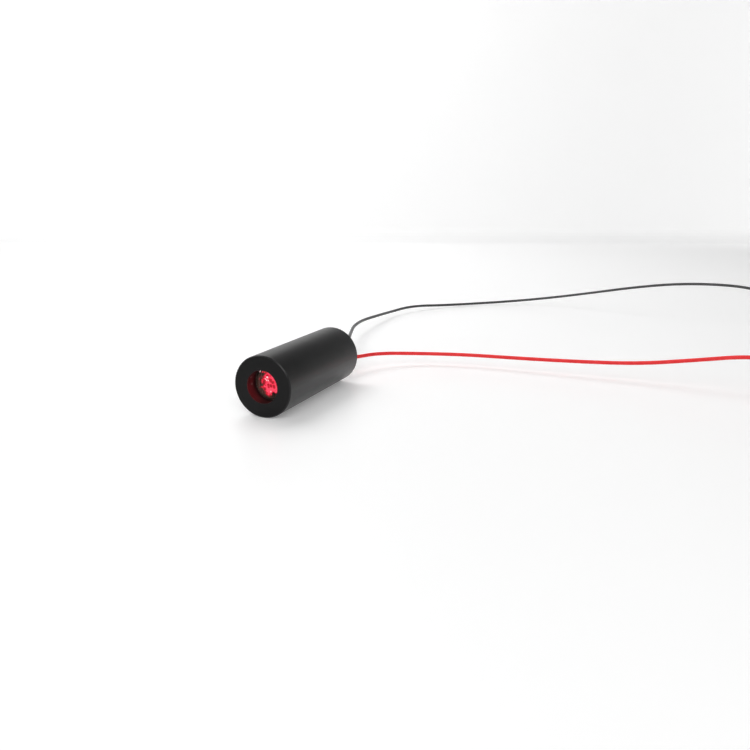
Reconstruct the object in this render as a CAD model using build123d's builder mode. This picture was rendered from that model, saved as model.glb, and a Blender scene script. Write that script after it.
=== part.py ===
from build123d import *

import os
from math import ceil, cos, pi, radians, sin, sqrt, tan

# Laser diode module: a turned barrel lying on its side, with a cross-line optic
# in front and two flying leads behind. Millimetres.
# The origin is on the optical axis at the middle of the barrel. The beam leaves
# along -Y, the leads leave along +Y, and the surface it lies on is below, along -Z.

# Barrel. It is as long as what is stacked in it, 30 mm: front wall, optic, its ring,
# diode holder, sleeve, plug and recess.
BARREL_DIA = 12.0
BARREL_WALL = 1.2
EDGE_CHAMFER = 0.2
FACE_WIDTH = 2.8
FRONT_WALL = 2.95
BORE_MOUTH_CHAMFER = 0.25

# Clearances: radial for pieces that slide into a bore, and for small pieces side by side
SLIP = 0.05
GAP = 0.03

# Cross-line optic: the boss stands free in the front bore, and carries the ridges
OPTIC_FLANGE = 1.1
BOSS_CLEARANCE = 0.2
BOSS_HEIGHT = 0.25
BOSS_BEVEL = 0.12
RIDGE_MARGIN = 0.3
RIDGE_PITCH = 0.6
RIDGE_HEIGHT = 0.07
RIDGE_ROOT = 0.1

# Ring behind the optic
OPTIC_RING_LENGTH = 1.4
OPTIC_RING_WALL = 1.45
OPTIC_RING_SLOT = 0.9
OPTIC_RING_SLOT_DEPTH = 0.5

# Diode holder: bore for the lens cell and its spring, throat round the can, header seat
HOLDER_WALL = 1.65
HOLDER_CHAMFER = 0.2
THROAT_CLEARANCE = 0.15
THROAT_LENGTH = 2.4
HEADER_SEAT_DEPTH = 1.6

# Lens cell, lens and its ring; lip and ring both reach over the flat rim of the lens
CELL_SETBACK = 1.5
CELL_LENGTH = 4.2
CELL_WALL = 0.9
CELL_LIP = 0.5
CELL_SLOT_WIDTH = 0.7
CELL_SLOT_DEPTH = 0.4
LENS_EDGE = 1.0
LENS_RIM = 0.4
RIM_COVER = 0.3
LENS_FRONT_SAG = 0.35
LENS_REAR_SAG = 0.8
LENS_RING_LENGTH = 0.9

# Focus spring
SPRING_LENGTH = 2.3
SPRING_WIRE = 0.4
SPRING_CLEARANCE = 0.25
SPRING_TURNS = 3

# Laser diode: header, can, window, chips and pins; sizes are (across, along, thick)
HEADER_DIA = 5.6
HEADER_THICKNESS = 1.2
HEADER_NOTCH = 0.4
PEDESTAL_WIDTH = 1.6
PEDESTAL_THICKNESS = 0.8
PEDESTAL_LENGTH = 1.0
CAN_DIA = 3.55
CAN_HEIGHT = 2.3
CAN_WALL = 0.15
CAN_FLANGE_DIA = 4.4
CAN_FLANGE = 0.2
CAN_EDGE_RADIUS = 0.3
WINDOW_HOLE = 1.6
WINDOW_CLEARANCE = 0.3
WINDOW_THICKNESS = 0.25
SUBMOUNT_SIZE = (0.9, 0.65, 0.2)
CHIP_SIZE = (0.3, 0.3, 0.1)
MONITOR_SIZE = (0.6, 0.2, 0.6)
MONITOR_LEVEL = 0.2
PIN_DIA = 0.45
PIN_CIRCLE_DIA = 2.0
PIN_ANGLES = (45, 135, 315)
PIN_LAP = 2.7
PIN_POST = 0.6
SEAL_DIA = 1.0

# Driver board, edge on between the pins, turned as the barrel happens to lie
ROLL = 20.0
BOARD_SETBACK = 0.9
BOARD_SIDE_GAP = 0.12
BOARD_REAR_GAP = 1.15
BOARD_CORNER = 0.5
BOARD_TAIL = 0.8

# Pieces on the board: sizes are (across, along, high), setbacks are from the front
# edge of the board to the piece's middle, insets from its side edge
LEG_THICKNESS = 0.15
LEG_WIDTH = 0.4
LEG_STANDOFF = 0.1
LEG_FOOT = 0.5
BODY_DRAFT = 7
DRIVER_BODY = (3.9, 4.4, 1.4)
DRIVER_SPAN = 5.8
DRIVER_PITCH = 1.1
DRIVER_LEGS_A_SIDE = 4
DRIVER_PIN_GAP = 0.2
REGULATOR_BODY = (1.3, 2.9, 0.95)
REGULATOR_SPAN = 2.5
REGULATOR_PITCH = 1.9
REGULATOR_INSET = 2.1
REGULATOR_SETBACK = 3.3
CAP_PLATING = 0.03
RESISTOR_SIZE = (0.8, 1.6, 0.45)
RESISTOR_CAP = 0.3
PAIR_INSET = 1.7
PAIR_SETBACK = 1.5
THIRD_RESISTOR_PLACE = (0.3, 6.0)
CAPACITOR_SIZE = (1.25, 2.0, 1.1)
CAPACITOR_CAP = 0.4
CAPACITOR_INSET = 1.1
CAPACITOR_SETBACK = 3.4
SECOND_CAPACITOR_PLACE = (-1.0, 4.5)

# Solder
SOLDER_RADIUS = 0.5
PIN_SOLDER_SETBACK = 0.7
PIN_SOLDER_LENGTH = 1.5
LEAD_SOLDER_LENGTH = 1.4

# Sleeve round the board, and the rear plug
SLEEVE_WALL = 0.2
PLUG_LENGTH = 2.4
PLUG_RECESS = 0.4
PLUG_CHAMFER = 0.15

# Leads: two stranded wires side by side through the plug, with tinned tips
LEAD_DIA = 0.85
LEAD_CLEARANCE = 0.1
LEAD_SPACING = 3.0
LEAD_START = 0.6
STRAIGHT_OUT = 2.4
TIP_DIA = 0.42
TIP_LENGTH = 5.0
TIP_ROUND = 0.12

# Each arc of a lead takes this share of the shorter run beside it
BEND_SHARE = 0.45

# Coil of the red lead, two turns wide and two high, and its place: x and distance
# behind the barrel. The stub and the tail run along its tangents at these angles.
COIL_CENTRE = (116.0, 7.4)
COIL_INNER_RADIUS = 4.65
COIL_SPACING = 0.9
COIL_SKIN = 0.04
COIL_ROUND = 0.35
COIL_ENTRY_ANGLE = 70.0
COIL_EXIT_ANGLE = 280.0
COIL_STUB = 3.4

# Routes of the leads: x, distance behind the barrel, and height of the lead's
# middle over the surface
LEAD_REST = 0.45
RED_ROUTE = [
    (2.0, 7.6, 3.7),
    (4.6, 14.6, 3.4),
    (11.6, 20.8, 2.7),
    (23.6, 23.8, 2.8),
    (36.4, 24.1, 3.0),
    (50.0, 23.9, 3.5),
    (62.6, 23.9, 4.2),
    (73.6, 22.8, 6.2),
    (84.6, 22.2, 8.3),
    (94.4, 20.7, 8.0),
    (102.4, 18.2, 4.5),
    (107.8, 16.3, 1.4),
]
BLACK_ROUTE = [
    (-2.2, 8.2, 5.6),
    (-4.0, 17.0, 5.6),
    (-9.0, 29.5, 4.8),
    (-13.5, 41.5, 4.1),
    (-16.2, 53.5, 3.4),
    (-16.9, 66.5, 2.6),
    (-17.6, 79.5, 1.7),
    (-14.7, 92.5, 1.9),
    (-7.0, 104.9, 0.8),
    (3.0, 114.2, 0.7),
    (15.0, 121.2, 1.3),
    (28.0, 124.3, 2.9),
    (41.3, 122.0, 5.6),
    (54.6, 118.3, 8.6),
    (67.2, 116.3, 10.7),
    (79.2, 116.2, 11.3),
    (90.6, 119.0, 10.4),
    (100.6, 120.6, 7.2),
    (109.4, 119.9, 3.2),
    (117.2, 117.4, 0.6),
    (124.4, 113.8, LEAD_REST),
]

# Tail of the coil: distance along the tangent that leaves it, and height
TAIL_ROUTE = [(0.0, LEAD_REST + COIL_SPACING), (3.2, LEAD_REST + COIL_SPACING), (6.0, 0.5),
              (8.4, LEAD_REST)]

# Widths and levels that follow from the ones above
MAIN_BORE_DIA = BARREL_DIA - 2 * BARREL_WALL
INNER_DIA = MAIN_BORE_DIA - 2 * SLIP
APERTURE_DIA = BARREL_DIA - 2 * FACE_WIDTH
BOSS_DIA = APERTURE_DIA - 2 * BOSS_CLEARANCE
RIDGE_FIELD_DIA = BOSS_DIA - 2 * RIDGE_MARGIN
OPTIC_RING_BORE = INNER_DIA - 2 * OPTIC_RING_WALL
CELL_BORE_DIA = INNER_DIA - 2 * HOLDER_WALL
CELL_DIA = CELL_BORE_DIA - 2 * SLIP
LENS_DIA = CELL_DIA - 2 * (CELL_WALL + SLIP)
THROAT_DIA = CAN_FLANGE_DIA + 2 * THROAT_CLEARANCE
LENS_CLEAR_DIA = LENS_DIA - 2 * LENS_RIM
RIM_OPENING = LENS_DIA - 2 * RIM_COVER
SPRING_MEAN_DIA = CELL_BORE_DIA - 2 * SPRING_CLEARANCE - SPRING_WIRE
SLEEVE_BORE = INNER_DIA - 2 * SLEEVE_WALL
PIN_PLACES = [
    (PIN_CIRCLE_DIA / 2 * cos(radians(a)), PIN_CIRCLE_DIA / 2 * sin(radians(a)))
    for a in PIN_ANGLES
]
HALF_BOARD = PIN_PLACES[0][1] - PIN_DIA / 2 - GAP
BOARD_EDGE = sqrt((SLEEVE_BORE / 2) ** 2 - HALF_BOARD**2) - BOARD_SIDE_GAP
LEAD_LEVEL = -(HALF_BOARD + LEAD_DIA / 2)
LEAD_PLACES = [(LEAD_SPACING / 2, LEAD_LEVEL), (-LEAD_SPACING / 2, LEAD_LEVEL)]

# Lengths that follow: the pins end just before the driver chip, which sets the board
HOLDER_LENGTH = CELL_SETBACK + CELL_LENGTH + SPRING_LENGTH + THROAT_LENGTH + HEADER_SEAT_DEPTH
DRIVER_SETBACK = PIN_LAP + DRIVER_PIN_GAP + DRIVER_BODY[1] / 2
BOARD_LENGTH = DRIVER_SETBACK + DRIVER_BODY[1] / 2 + BOARD_TAIL
SLEEVE_LENGTH = (HEADER_THICKNESS - HEADER_SEAT_DEPTH) + BOARD_SETBACK + BOARD_LENGTH + BOARD_REAR_GAP
STACK = [FRONT_WALL, OPTIC_FLANGE, OPTIC_RING_LENGTH, HOLDER_LENGTH, SLEEVE_LENGTH,
         PLUG_LENGTH, PLUG_RECESS]
BARREL_LENGTH = sum(STACK)

# Stations along the axis, from the front to the rear
FRONT = -BARREL_LENGTH / 2
REAR = BARREL_LENGTH / 2
FLOOR = -BARREL_DIA / 2
OPTIC_SEAT = FRONT + FRONT_WALL
OPTIC_FRONT = OPTIC_SEAT - BOSS_HEIGHT
OPTIC_BACK = OPTIC_SEAT + OPTIC_FLANGE
HOLDER_FRONT = OPTIC_BACK + OPTIC_RING_LENGTH
HOLDER_BACK = HOLDER_FRONT + HOLDER_LENGTH
CELL_FRONT = HOLDER_FRONT + CELL_SETBACK
CELL_BACK = CELL_FRONT + CELL_LENGTH
LENS_FRONT = CELL_FRONT + CELL_LIP
LENS_BACK = LENS_FRONT + LENS_EDGE
SPRING_SEAT = CELL_BACK + SPRING_LENGTH
HEADER_FRONT = HOLDER_BACK - HEADER_SEAT_DEPTH
HEADER_BACK = HEADER_FRONT + HEADER_THICKNESS
CAN_FRONT = HEADER_FRONT - CAN_HEIGHT
PEDESTAL_FRONT = HEADER_FRONT - PEDESTAL_LENGTH
BOARD_FRONT = HEADER_BACK + BOARD_SETBACK
BOARD_BACK = BOARD_FRONT + BOARD_LENGTH
LEAD_INNER_END = BOARD_BACK - LEAD_START
PLUG_BACK = REAR - PLUG_RECESS
PLUG_FRONT = PLUG_BACK - PLUG_LENGTH

os.makedirs("parts", exist_ok=True)


def station(y):
    """A plane across the axis at y: its x is X, its y is Z, and it faces the front."""
    return Plane.XZ.offset(-y)


def turned_about(y):
    """A plane across the axis at y, turned by the roll at which the barrel lies."""
    return Plane((0, y, 0), x_dir=(cos(radians(ROLL)), 0, -sin(radians(ROLL))), z_dir=(0, -1, 0))


def save(part, name):
    """Labels a finished piece and writes it to its own file."""
    part.label = name
    export_step(part, f"parts/{name}.step")


# Barrel: turned from bar, with the front bore, the main bore and chamfered ends
with BuildPart() as housing:
    with BuildSketch(Plane.XY):
        with BuildLine():
            Polyline(
                (APERTURE_DIA / 2, FRONT),
                (BARREL_DIA / 2, FRONT),
                (BARREL_DIA / 2, REAR),
                (MAIN_BORE_DIA / 2, REAR),
                (MAIN_BORE_DIA / 2, OPTIC_SEAT),
                (APERTURE_DIA / 2, OPTIC_SEAT),
                close=True,
            )
        make_face()
    revolve(axis=Axis.Y)
    rims = housing.edges().filter_by(GeomType.CIRCLE)
    chamfer(rims.filter_by(lambda e: e.radius > MAIN_BORE_DIA / 2 + SLIP), length=EDGE_CHAMFER)
    bore_rims = housing.edges().filter_by(GeomType.CIRCLE).sort_by(Axis.Y)
    bore_rims = bore_rims.filter_by(lambda e: abs(e.radius - MAIN_BORE_DIA / 2) < SLIP)
    chamfer(bore_rims[-1], length=BORE_MOUTH_CHAMFER)
save(housing.part, "housing")


# Cross-line optic: rows of half-round ridges, upright in front and level behind
def ridge_rows(plane, height):
    """A round field of ridges side by side, standing `height` proud of the plane."""
    count = ceil(round(RIDGE_FIELD_DIA / RIDGE_PITCH, 3))
    left = -count * RIDGE_PITCH / 2
    across = Plane(plane.origin, x_dir=plane.x_dir, z_dir=-plane.y_dir)
    with BuildPart() as rows:
        with BuildSketch(across):
            with BuildLine():
                for i in range(count):
                    x = left + i * RIDGE_PITCH
                    SagittaArc((x, 0), (x + RIDGE_PITCH, 0), height)
                Polyline((-left, 0), (-left, -RIDGE_ROOT), (left, -RIDGE_ROOT), (left, 0))
            make_face()
        extrude(amount=RIDGE_FIELD_DIA / 2, both=True)
        with BuildSketch(plane.offset(-RIDGE_ROOT)):
            Circle(RIDGE_FIELD_DIA / 2)
        extrude(amount=RIDGE_ROOT + 2 * height, mode=Mode.INTERSECT)
    return rows.part


front_ridges = ridge_rows(station(OPTIC_FRONT), RIDGE_HEIGHT)
back_plane = Plane((0, OPTIC_BACK, 0), x_dir=(0, 0, 1), z_dir=(0, 1, 0))
back_ridges = ridge_rows(back_plane, RIDGE_HEIGHT)
with BuildPart() as cross_line_optic:
    with BuildSketch(station(OPTIC_SEAT)):
        Circle(INNER_DIA / 2)
    extrude(amount=-OPTIC_FLANGE)
    with BuildSketch(station(OPTIC_SEAT)):
        Circle(BOSS_DIA / 2)
    extrude(amount=BOSS_HEIGHT)
    chamfer(cross_line_optic.edges().group_by(Axis.Y)[0], length=BOSS_BEVEL)
    add(front_ridges)
    add(back_ridges)
save(cross_line_optic.part, "cross_line_optic")

# Ring that holds the optic to the front wall, with two slots for a pin spanner
with BuildPart() as optic_ring:
    with BuildSketch(station(OPTIC_BACK)):
        Circle(INNER_DIA / 2)
        Circle(OPTIC_RING_BORE / 2, mode=Mode.SUBTRACT)
    extrude(amount=-OPTIC_RING_LENGTH)
    with BuildSketch(station(HOLDER_FRONT)):
        Rectangle(BARREL_DIA, OPTIC_RING_SLOT)
    extrude(amount=OPTIC_RING_SLOT_DEPTH, mode=Mode.SUBTRACT)
save(optic_ring.part, "optic_ring")

# Diode holder: bored for the lens cell in front and for the diode behind
with BuildPart() as diode_holder:
    with BuildSketch(Plane.XY):
        with BuildLine():
            Polyline(
                (CELL_BORE_DIA / 2, HOLDER_FRONT),
                (INNER_DIA / 2, HOLDER_FRONT),
                (INNER_DIA / 2, HOLDER_BACK),
                (HEADER_DIA / 2 + SLIP, HOLDER_BACK),
                (HEADER_DIA / 2 + SLIP, HEADER_FRONT),
                (THROAT_DIA / 2, HEADER_FRONT),
                (THROAT_DIA / 2, SPRING_SEAT),
                (CELL_BORE_DIA / 2, SPRING_SEAT),
                close=True,
            )
        make_face()
    revolve(axis=Axis.Y)
    outer_rims = diode_holder.edges().filter_by(GeomType.CIRCLE)
    outer_rims = outer_rims.filter_by(lambda e: e.radius > INNER_DIA / 2 - SLIP)
    chamfer(outer_rims, length=HOLDER_CHAMFER)
save(diode_holder.part, "diode_holder")

# Lens cell: threaded outside, with a lip in front of the lens and two driver slots
with BuildPart() as lens_cell:
    with BuildSketch(Plane.XY):
        with BuildLine():
            Polyline(
                (RIM_OPENING / 2, CELL_FRONT),
                (CELL_DIA / 2, CELL_FRONT),
                (CELL_DIA / 2, CELL_BACK),
                (LENS_DIA / 2 + SLIP, CELL_BACK),
                (LENS_DIA / 2 + SLIP, LENS_FRONT),
                (RIM_OPENING / 2, LENS_FRONT),
                close=True,
            )
        make_face()
    revolve(axis=Axis.Y)
    with BuildSketch(station(CELL_FRONT)):
        Rectangle(BARREL_DIA, CELL_SLOT_WIDTH)
    extrude(amount=-CELL_SLOT_DEPTH, mode=Mode.SUBTRACT)
save(lens_cell.part, "lens_cell")

# Collimating lens: flat rim, a shallow front dome and a deeper rear one
with BuildPart() as collimating_lens:
    with BuildSketch(Plane.XY):
        with BuildLine():
            front_apex = (0, LENS_FRONT - LENS_FRONT_SAG)
            back_apex = (0, LENS_BACK + LENS_REAR_SAG)
            TangentArc(front_apex, (LENS_CLEAR_DIA / 2, LENS_FRONT), tangent=(1, 0))
            Polyline(
                (LENS_CLEAR_DIA / 2, LENS_FRONT),
                (LENS_DIA / 2, LENS_FRONT),
                (LENS_DIA / 2, LENS_BACK),
                (LENS_CLEAR_DIA / 2, LENS_BACK),
            )
            TangentArc(back_apex, (LENS_CLEAR_DIA / 2, LENS_BACK), tangent=(1, 0))
            Line(back_apex, front_apex)
        make_face()
    revolve(axis=Axis.Y)
save(collimating_lens.part, "collimating_lens")

# Ring that keeps the lens in its cell
with BuildPart() as lens_ring:
    with BuildSketch(station(LENS_BACK)):
        Circle(LENS_DIA / 2)
        Circle(RIM_OPENING / 2, mode=Mode.SUBTRACT)
    extrude(amount=-LENS_RING_LENGTH)
save(lens_ring.part, "lens_ring")

# Focus spring: pushes the cell forward and takes up the play of its thread
with BuildPart() as focus_spring:
    spring_height = SPRING_LENGTH - SPRING_WIRE
    with BuildLine():
        coil_line = Helix(
            pitch=spring_height / SPRING_TURNS,
            height=spring_height,
            radius=SPRING_MEAN_DIA / 2,
            center=(0, CELL_BACK + SPRING_WIRE / 2, 0),
            direction=(0, 1, 0),
        )
    with BuildSketch(Plane(coil_line @ 0, z_dir=coil_line % 0)):
        Circle(SPRING_WIRE / 2)
    sweep(is_frenet=True)
save(focus_spring.part, "focus_spring")

# Laser diode. Two pins pass through glass seals; the third is welded to the header.
SEALED_PINS = PIN_PLACES[:2]
WELDED_PIN = PIN_PLACES[2]

with BuildPart() as diode_header:
    with BuildSketch(turned_about(HEADER_FRONT)):
        Circle(HEADER_DIA / 2)
        with Locations(*SEALED_PINS):
            Circle(SEAL_DIA / 2, mode=Mode.SUBTRACT)
        with Locations((HEADER_DIA / 2, 0), (-HEADER_DIA / 2, 0)):
            RegularPolygon(HEADER_NOTCH, 4, mode=Mode.SUBTRACT)
    extrude(amount=-HEADER_THICKNESS)
    # Pedestal that stands forward and carries the chip just under the axis
    chip_level = -CHIP_SIZE[2] / 2 - SUBMOUNT_SIZE[2]
    with BuildSketch(turned_about(HEADER_FRONT)):
        with Locations((0, chip_level)):
            Rectangle(PEDESTAL_WIDTH, PEDESTAL_THICKNESS, align=(Align.CENTER, Align.MAX))
    extrude(amount=PEDESTAL_LENGTH)
save(diode_header.part, "diode_header")

with BuildPart() as diode_can:
    can_bore = CAN_DIA / 2 - CAN_WALL
    with BuildSketch(Plane.XY) as can_profile:
        with BuildLine():
            Polyline(
                (WINDOW_HOLE / 2, CAN_FRONT),
                (CAN_DIA / 2, CAN_FRONT),
                (CAN_DIA / 2, HEADER_FRONT - CAN_FLANGE),
                (CAN_FLANGE_DIA / 2, HEADER_FRONT - CAN_FLANGE),
                (CAN_FLANGE_DIA / 2, HEADER_FRONT),
                (can_bore, HEADER_FRONT),
                (can_bore, CAN_FRONT + CAN_WALL),
                (WINDOW_HOLE / 2, CAN_FRONT + CAN_WALL),
                close=True,
            )
        make_face()
        inner_corner = can_profile.vertices().group_by(Axis.Y)[1].sort_by(Axis.X)[-1]
        fillet(inner_corner, radius=CAN_EDGE_RADIUS - CAN_WALL)
        outer_corner = can_profile.vertices().group_by(Axis.Y)[0].sort_by(Axis.X)[-1]
        fillet(outer_corner, radius=CAN_EDGE_RADIUS)
    revolve(axis=Axis.Y)
save(diode_can.part, "diode_can")

with BuildPart() as diode_window:
    with BuildSketch(station(CAN_FRONT + CAN_WALL)):
        Circle(CAN_DIA / 2 - CAN_WALL - WINDOW_CLEARANCE)
    extrude(amount=-WINDOW_THICKNESS)
save(diode_window.part, "diode_window")


def small_block(front, size, level):
    """A block from `front` rearwards, size (across, along, thick), its foot at `level`."""
    across, along, thick = size
    with BuildPart() as block:
        with BuildSketch(turned_about(front)):
            with Locations((0, level)):
                Rectangle(across, thick, align=(Align.CENTER, Align.MIN))
        extrude(amount=-along)
    return block.part


submount = small_block(PEDESTAL_FRONT, SUBMOUNT_SIZE, chip_level)
save(submount, "laser_submount")
chip = small_block(PEDESTAL_FRONT, CHIP_SIZE, chip_level + SUBMOUNT_SIZE[2])
save(chip, "laser_chip")
monitor = small_block(HEADER_FRONT - MONITOR_SIZE[1], MONITOR_SIZE, MONITOR_LEVEL)
save(monitor, "monitor_photodiode")

with BuildPart() as pin_seals:
    with BuildSketch(turned_about(HEADER_FRONT)):
        with Locations(*SEALED_PINS):
            Circle(SEAL_DIA / 2)
            Circle(PIN_DIA / 2, mode=Mode.SUBTRACT)
    extrude(amount=-HEADER_THICKNESS)
save(pin_seals.part, "pin_seals")

with BuildPart() as diode_pins:
    with BuildSketch(turned_about(HEADER_FRONT - PIN_POST)):
        with Locations(*SEALED_PINS):
            Circle(PIN_DIA / 2)
    extrude(amount=-(PIN_POST + HEADER_THICKNESS + BOARD_SETBACK + PIN_LAP))
    with BuildSketch(turned_about(HEADER_BACK)):
        with Locations(WELDED_PIN):
            Circle(PIN_DIA / 2)
    extrude(amount=-(BOARD_SETBACK + PIN_LAP))
save(diode_pins.part, "diode_pins")

# Driver board: stands edge on between the pins, so that they grip it from both sides
board_plane = Plane(
    turned_about(BOARD_FRONT).origin,
    x_dir=turned_about(BOARD_FRONT).x_dir,
    z_dir=turned_about(BOARD_FRONT).y_dir,
)
with BuildPart() as driver_board:
    with BuildSketch(board_plane.offset(-HALF_BOARD)):
        with Locations((0, BOARD_LENGTH / 2)):
            RectangleRounded(2 * BOARD_EDGE, BOARD_LENGTH, BOARD_CORNER)
    extrude(amount=2 * HALF_BOARD)
save(driver_board.part, "driver_board")

# Faces that the components stand on: x across the board, y rearwards
board_top = board_plane.offset(HALF_BOARD)
under_origin = board_plane.offset(-HALF_BOARD).origin
board_under = Plane(under_origin, x_dir=-board_plane.x_dir, z_dir=-board_plane.z_dir)


def on_board(face, across, setback):
    """A plane on a face of the board, `across` from its middle and behind its front edge."""
    return Plane(face.from_local_coords((across, setback, 0)), x_dir=face.x_dir, z_dir=face.z_dir)


def leaded_chip(seat, body, span, left_legs, right_legs):
    """A moulded chip with gull-wing legs at places along it, their feet `span` apart."""
    across, along, high = body
    middle = LEG_STANDOFF + high / 2
    root = across / 2 - LEG_FOOT
    knee = across / 2 + (span / 2 - across / 2 - LEG_FOOT) / 2 + LEG_THICKNESS
    with BuildPart() as chip:
        for places, side in ((left_legs, -1), (right_legs, 1)):
            for place in places:
                leg_origin = seat.from_local_coords((0, place, 0))
                leg_plane = Plane(leg_origin, x_dir=seat.x_dir, z_dir=-seat.y_dir)
                with BuildSketch(leg_plane):
                    with BuildLine():
                        Polyline(
                            (side * root, middle + LEG_THICKNESS / 2),
                            (side * knee, middle + LEG_THICKNESS / 2),
                            (side * (knee + LEG_THICKNESS), LEG_THICKNESS),
                            (side * span / 2, LEG_THICKNESS),
                            (side * span / 2, 0),
                            (side * knee, 0),
                            (side * (knee - LEG_THICKNESS), middle - LEG_THICKNESS / 2),
                            (side * root, middle - LEG_THICKNESS / 2),
                            close=True,
                        )
                    make_face()
                extrude(amount=LEG_WIDTH / 2, both=True)
        with BuildSketch(seat.offset(middle)):
            Rectangle(across, along)
        extrude(amount=high / 2, taper=BODY_DRAFT)
        with BuildSketch(seat.offset(middle)):
            Rectangle(across, along)
        extrude(amount=-high / 2, taper=BODY_DRAFT)
    return chip.part


first_leg = -(DRIVER_LEGS_A_SIDE - 1) / 2 * DRIVER_PITCH
driver_legs = [first_leg + i * DRIVER_PITCH for i in range(DRIVER_LEGS_A_SIDE)]
driver_seat = on_board(board_top, 0, DRIVER_SETBACK)
driver_chip = leaded_chip(driver_seat, DRIVER_BODY, DRIVER_SPAN, driver_legs, driver_legs)
save(driver_chip, "driver_chip")

pair_of_legs = [-REGULATOR_PITCH / 2, REGULATOR_PITCH / 2]
regulator_seat = on_board(board_under, BOARD_EDGE - REGULATOR_INSET, REGULATOR_SETBACK)
regulator = leaded_chip(regulator_seat, REGULATOR_BODY, REGULATOR_SPAN, pair_of_legs, [0])
save(regulator, "regulator_transistor")


# Chip resistors and capacitors: a ceramic body with a metal cap round each end
def end_capped(seat, size, cap):
    """A chip resistor or capacitor, size (across, along, high), capped at both ends."""
    across, along, high = size
    with BuildPart() as piece:
        with BuildSketch(seat.offset(CAP_PLATING)):
            Rectangle(across - 2 * CAP_PLATING, along - 2 * CAP_PLATING)
        extrude(amount=high - 2 * CAP_PLATING)
        with BuildSketch(seat):
            end = (along - cap) / 2
            with Locations((0, end), (0, -end)):
                Rectangle(across, cap)
        extrude(amount=high)
    return piece.part


resistor_seats = [
    on_board(board_top, PAIR_INSET - BOARD_EDGE, PAIR_SETBACK),
    on_board(board_top, BOARD_EDGE - PAIR_INSET, PAIR_SETBACK),
    on_board(board_under, *THIRD_RESISTOR_PLACE),
]
for number, seat in enumerate(resistor_seats, start=1):
    save(end_capped(seat, RESISTOR_SIZE, RESISTOR_CAP), f"resistor_{number}")
capacitor_seats = [
    on_board(board_under, CAPACITOR_INSET - BOARD_EDGE, CAPACITOR_SETBACK),
    on_board(board_under, *SECOND_CAPACITOR_PLACE),
]
for number, seat in enumerate(capacitor_seats, start=1):
    save(end_capped(seat, CAPACITOR_SIZE, CAPACITOR_CAP), f"capacitor_{number}")

# Solder: a loaf over each pin, and one where each lead's strands meet the board
with BuildPart() as pin_solder:
    with BuildSketch(turned_about(BOARD_FRONT + PIN_SOLDER_SETBACK)):
        with Locations(*PIN_PLACES):
            Circle(SOLDER_RADIUS)
            Circle(PIN_DIA / 2 + GAP / 2, mode=Mode.SUBTRACT)
        Rectangle(BARREL_DIA, 2 * HALF_BOARD, mode=Mode.SUBTRACT)
    extrude(amount=-PIN_SOLDER_LENGTH)
save(pin_solder.part, "pin_solder")

with BuildPart() as lead_solder:
    with BuildSketch(turned_about(LEAD_INNER_END - LEAD_SOLDER_LENGTH)):
        with Locations(*LEAD_PLACES):
            Circle(LEAD_DIA / 2)
            Rectangle(LEAD_DIA, LEAD_DIA / 2, align=(Align.CENTER, Align.MIN))
    extrude(amount=-LEAD_SOLDER_LENGTH)
save(lead_solder.part, "lead_solder")

# Insulating sleeve between the holder and the rear plug
with BuildPart() as insulating_sleeve:
    with BuildSketch(station(HOLDER_BACK)):
        Circle(INNER_DIA / 2)
        Circle(SLEEVE_BORE / 2, mode=Mode.SUBTRACT)
    extrude(amount=-SLEEVE_LENGTH)
save(insulating_sleeve.part, "insulating_sleeve")

# Rear plug, a little inside the end of the barrel, with a hole for each lead
with BuildPart() as rear_plug:
    with BuildSketch(turned_about(PLUG_FRONT)):
        Circle(INNER_DIA / 2)
        with Locations(*LEAD_PLACES):
            Circle(LEAD_DIA / 2 + LEAD_CLEARANCE, mode=Mode.SUBTRACT)
    extrude(amount=-PLUG_LENGTH)
    plug_rim = rear_plug.edges().filter_by(GeomType.CIRCLE).group_by(Axis.Y)[-1]
    chamfer(plug_rim.sort_by(SortBy.RADIUS)[-1], length=PLUG_CHAMFER)
save(rear_plug.part, "rear_plug")


# Leads, each along its route; the first run goes straight through the plug
def lay(x, behind, height):
    """A point given from the rear of the barrel and from the surface it lies on."""
    return Vector(x, REAR + behind, FLOOR + height)


def lead_points(place, route):
    """The straight run through the plug at a place, then the points of the route."""
    start = turned_about(LEAD_INNER_END).from_local_coords((*place, 0))
    out = Vector(start.X, REAR + STRAIGHT_OUT, start.Z)
    return [start, out] + [lay(*point) for point in route]


def bend_radii(points):
    """The largest arc that fits at each corner of a route, for its two runs."""
    found = []
    for before, corner, after in zip(points, points[1:], points[2:]):
        run_in, run_out = corner - before, after - corner
        half_turn = radians(run_in.get_angle(run_out)) / 2
        found.append(BEND_SHARE * min(run_in.length, run_out.length) / tan(half_turn))
    return found


def lead_tube(points):
    """A round lead along straight runs joined by tangent arcs, and its length."""
    with BuildPart() as tube:
        with BuildLine():
            route = FilletPolyline(*points, radius=bend_radii(points))
        with BuildSketch(Plane(route @ 0, z_dir=route % 0)):
            Circle(LEAD_DIA / 2)
        sweep()
    return tube.part, route.length


def lead_tip(points):
    """The stripped and tinned strands that stand out of the end of a lead."""
    ahead = (points[-1] - points[-2]).normalized()
    with BuildPart() as tip:
        with BuildSketch(Plane(points[-1], z_dir=ahead)):
            Circle(TIP_DIA / 2)
        extrude(amount=TIP_LENGTH)
        fillet(tip.faces().sort_by(Axis(points[-1], ahead))[-1].edges(), radius=TIP_ROUND)
    return tip.part


coil_outer = COIL_INNER_RADIUS + COIL_SPACING
coil_centre = lay(*COIL_CENTRE, 0)


def on_coil(angle, height, along=0.0):
    """A point level with the coil's outer turn, then `along` its clockwise tangent."""
    turn = radians(angle)
    x = coil_outer * cos(turn) + along * sin(turn)
    y = coil_outer * sin(turn) - along * cos(turn)
    return coil_centre + Vector(x, y, height)


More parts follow.
